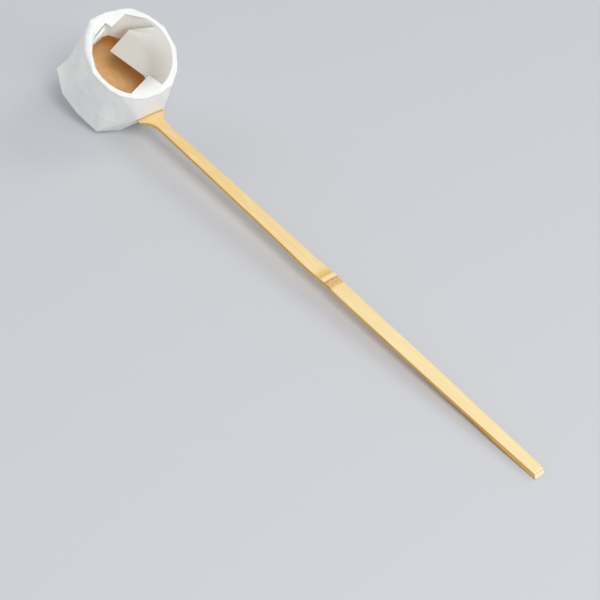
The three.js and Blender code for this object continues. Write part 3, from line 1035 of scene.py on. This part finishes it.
def mark_node(look, skin, along, across):
    """The node: painted shade on the skin into its groove, a pale ridge, and the sheath's dotted scar past a
    ragged line.
    """
    past = along - NODE_ALONG
    ragged = past + look.grain(look.spread(0, across * 0.9, 0), 1, 3) * RAGGED - RAGGED / 2
    dots = look.ramp(look.grain(look.spread(along * 0.7, across * 0.9, 0), 1, 2), 0.45, 0.62)
    # painted shade: the skin darkens towards the node's groove
    skin = look.mix(look.span(past, *GROOVE_SHADE_SPAN) * 0.7, skin, GROOVE_SHADE)
    skin = look.mix(look.bell(past, RIDGE_PAST, RIDGE_HALF) * 0.8, skin, RIDGE)
    skin = look.mix(look.span(ragged, *SCAR_SPAN) * (0.42 + dots * 0.5), skin, SCAR_SKIN)
    return look.mix(look.bell(ragged, SCAR_LINE_PAST, SCAR_LINE_HALF) * 0.8, skin, SCAR_LINE)


def finish_handle(handle):
    """Bamboo skin, honey-coloured at the cup and paler to the tip by painted light; split fibre on the
    sides, warmed by painted bounce light; a cut end.
    """
    look = Finish("bamboo_skin")
    along, across, out = look.millimetres(look.spot(handle_place))
    below_skin = -(out + across * across / (2 * SKIN_RADIUS))
    fibre = look.ramp(below_skin, *SPLIT_DEPTHS)
    streak = look.grain(look.spread(along * 0.018, across * 1.6, out * 1.6), 1, 5)
    fine = look.grain(look.spread(along * 0.05, across * 7, out * 7), 1, 3)
    cloud = look.grain(look.spread(along * 0.05, across * 0.25, out * 0.25), 1, 3)
    # painted light: the skin's colour pales towards the tip
    skin = look.mix(look.ramp(along, *SKIN_PAINTED_LIGHT_SPAN), SKIN_AT_CUP, SKIN_LIT_TOWARDS_TIP)
    skin = look.mix(look.ramp(streak, 0.35, 0.75) * 0.45, skin, SKIN_STREAK)
    skin = look.mix(look.ramp(cloud, 0.5, 0.75) * 0.45, skin, SKIN_CLOUD)
    skin = mark_node(look, skin, along, across)
    vessels = look.grain(look.spread(along * 0.03, across * 3, out * 5), 1, 4)
    # the split fibre's tones carry painted warm bounce light
    split = look.mix(look.ramp(vessels, 0.42, 0.62), SPLIT_PALE_AND_BOUNCE, SPLIT_VESSEL_AND_BOUNCE)
    colour = look.mix(fibre, skin, split)
    past_end = along - (TIP_ALONG - TIP_SLANT) + out * (TIP_SLANT / HANDLE_THICKNESS)
    cut = look.ramp(past_end, *CUT_EDGE)
    bundles = look.ramp(look.grain(look.spread(0, across * 2.6, out * 2.6), 1, 2), 0.54, 0.66)
    colour = look.mix(cut, colour, look.mix(bundles * 0.6, CUT_PALE, CUT_BUNDLE))
    colour = look.mix(look.bell(below_skin, RIND_DEPTH, RIND_HALF) * 0.7, colour, RIND)
    rough = 0.42 + fibre * 0.3 + look.ramp(fine, 0.3, 0.8) * 0.1
    relief = look.bump(fine * 0.5 + streak * 0.5 + vessels * fibre * 1.5, 0.25, 0.25)
    look.give(handle, Base_Color=colour, Roughness=rough, Specular_IOR_Level=0.4, Normal=relief)


def finish_cup(cup):
    """The culm's inside: warm bare bamboo, fibres up the wall, rings on the node that is its floor."""
    look = Finish("bamboo_culm")
    x, y, z = look.millimetres(look.spot(cup_place))
    radius = look.off_axis(x, y)
    outwards = look.node("VectorMath", {"operation": "NORMALIZE"}, {0: look.spread(x, y, 0)})
    ring = look.node("VectorMath", {"operation": "SCALE"}, {0: outwards, "Scale": 40})
    up_wall = look.node("VectorMath", {"operation": "ADD"}, {0: ring, 1: look.spread(0, 0, z * 0.06)})
    fibres = look.grain(up_wall, 1.2, 5)
    cloud = look.grain(look.spread(x * 0.35, y * 0.35, z * 0.35), 1, 4)
    speck = look.grain(look.spread(x * 2.5, y * 2.5, z * 2.5), 1, 3)
    floor = 1 - look.ramp(z - FLOOR_LEVEL, *FLOOR_MEETS)
    wall = look.mix(look.ramp(fibres, 0.35, 0.7), CULM_PALE, CULM_FIBRE)
    rings = look.maths("SINE", radius * 1.1 + cloud * 3) * 0.5 + 0.5
    node = look.mix(look.ramp(cloud, 0.35, 0.7) * 0.35, FLOOR_PALE, FLOOR_CLOUD)
    node = look.mix(rings * 0.1, node, FLOOR_RING)
    colour = look.mix(floor, wall, node)
    colour = look.mix(look.ramp(speck, 0.6, 0.75) * 0.12, colour, CULM_SPECK)
    colour = look.mix(look.ramp(radius - CUP_RADIUS, *OUTSIDE_EDGE), colour, CULM_OUTSIDE)
    rough = 0.55 + speck * 0.2
    relief = look.bump(fibres * (1 - floor) + cloud * floor * 0.6 + speck * 0.3, 0.3, 0.3)
    look.give(cup, Base_Color=colour, Roughness=rough, Specular_IOR_Level=0.3, Normal=relief)


def finish_paper(paper):
    """Thin white paper, its fibres just showing, and painted shade that greys the plies standing free in the
    mouth.
    """
    look = Finish("white_paper")
    spot = look.spot(cup_place)
    x, y, z = look.millimetres(spot)
    cloud = look.grain(spot, 90, 4)
    drawn = look.node("Mapping", {"vector_type": "POINT"}, {0: spot, "Scale": (900, 900, 260)})
    fibre = look.grain(drawn, 1, 4)
    tooth = look.grain(spot, 2600, 2)
    colour = look.mix(look.ramp(cloud, 0.35, 0.7) * 0.6, PAPER_WHITE, PAPER_CLOUD)
    colour = look.mix(look.ramp(fibre, 0.58, 0.72) * 0.2, colour, PAPER_FIBRE)
    # painted shade: the plies that stand in the mouth away from the wall are greyed
    shade_off_wall = 1 - look.ramp(look.off_axis(x, y), *MOUTH_SHADE_OFF_AXIS)
    free = shade_off_wall * look.ramp(x, *MOUTH_SHADE_ALONG) * look.ramp(z, *MOUTH_SHADE_UP)
    colour = look.mix(free, colour, MOUTH_PAINTED_SHADE)
    creases = look.creases(spot, 190) + look.creases(spot, 420) * 0.5
    rough = 0.82 + look.ramp(fibre, 0.4, 0.7) * 0.12
    relief = look.bump(fibre * 0.6 + tooth * 0.4 + cloud * 0.8 + creases * 4, 0.16, 0.2)
    look.give(paper, Base_Color=colour, Roughness=rough, Specular_IOR_Level=0.25, Normal=relief)


# The three pieces

cup = make_cup()
handle = make_handle()
paper = make_paper()
finish_cup(cup)
finish_handle(handle)
finish_paper(paper)
for piece, node, slot in (
    (cup, "cup", "bamboo_culm"),
    (handle, "handle", "bamboo_skin"),
    (paper, "paper_wrap", "white_paper"),
):
    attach(piece, "root")
    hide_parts(node)


# Floor, light and camera, in metres

GROUND_SIZE = 8
GROUND_GAP = 0.0002
GROUND_COLOUR = tone(203, 205, 210)
SKY_COLOUR = (0.97, 0.985, 1.0, 1)
SKY_STRENGTH = 0.5
LAMP_SIZE = 1.0
LAMP_COLOUR = (1.0, 0.99, 0.97)
# Lamps: name, place, what they point at, power
LAMPS = [
    ("window", (1.2, -0.45, 1.8), (-0.05, 0, 0.02), 21.5),
    ("fill", (0.2, 1.6, 1.4), (-0.1, 0, 0.02), 7.8),
    ("side", (-1.7, -0.6, 1.0), (-0.15, 0, 0.02), 4.6),
    ("end", (1.6, 0.35, 0.6), (-0.15, 0, 0.03), 4.0),
]
# The photograph's camera: its place, its axes, and its focal length in pixels of its frame
CAMERA_SPOT = Vector((0.541758, -0.557543, 0.715585))
CAMERA_RIGHT = Vector((0.65341, 0.7503, 0.10062))
CAMERA_DOWN = Vector((0.57312, -0.4035, -0.71317))
CAMERA_AHEAD = Vector((-0.49448, 0.5237, -0.69364))
CAMERA_FOCAL = 1682.07
FRAME_PIXELS = 600
# The camera's sensor, in millimetres
SENSOR = 36


def make_floor():
    clear()
    bpy.ops.mesh.primitive_plane_add(size=GROUND_SIZE, location=(0, 0, -GROUND_GAP))
    floor = bpy.context.object
    floor.name = "floor"
    Finish("pale_floor").give(floor, Base_Color=GROUND_COLOUR, Roughness=0.9)


def make_sky():
    sky = bpy.data.worlds.new("room")
    sky.use_nodes = True
    background = sky.node_tree.nodes["Background"]
    background.inputs["Color"].default_value = SKY_COLOUR
    background.inputs["Strength"].default_value = SKY_STRENGTH
    bpy.context.scene.world = sky


def make_lamp(name, spot, aim, power):
    clear()
    bpy.ops.object.light_add(type="AREA", location=spot)
    lamp = bpy.context.object
    lamp.name = name
    lamp.rotation_euler = (Vector(aim) - Vector(spot)).to_track_quat("-Z", "Y").to_euler()
    lamp.data.size = LAMP_SIZE
    lamp.data.energy = power
    lamp.data.color = LAMP_COLOUR


def make_camera():
    clear()
    bpy.ops.object.camera_add()
    camera = bpy.context.object
    turn = Matrix((CAMERA_RIGHT, -CAMERA_DOWN, -CAMERA_AHEAD)).transposed()
    camera.matrix_world = Matrix.Translation(CAMERA_SPOT) @ turn.to_4x4()
    camera.data.sensor_width = SENSOR
    camera.data.lens = CAMERA_FOCAL * SENSOR / FRAME_PIXELS
    bpy.context.scene.camera = camera


make_floor()
make_sky()
for lamp in LAMPS:
    make_lamp(*lamp)
make_camera()
bpy.context.scene.view_settings.view_transform = "Standard"
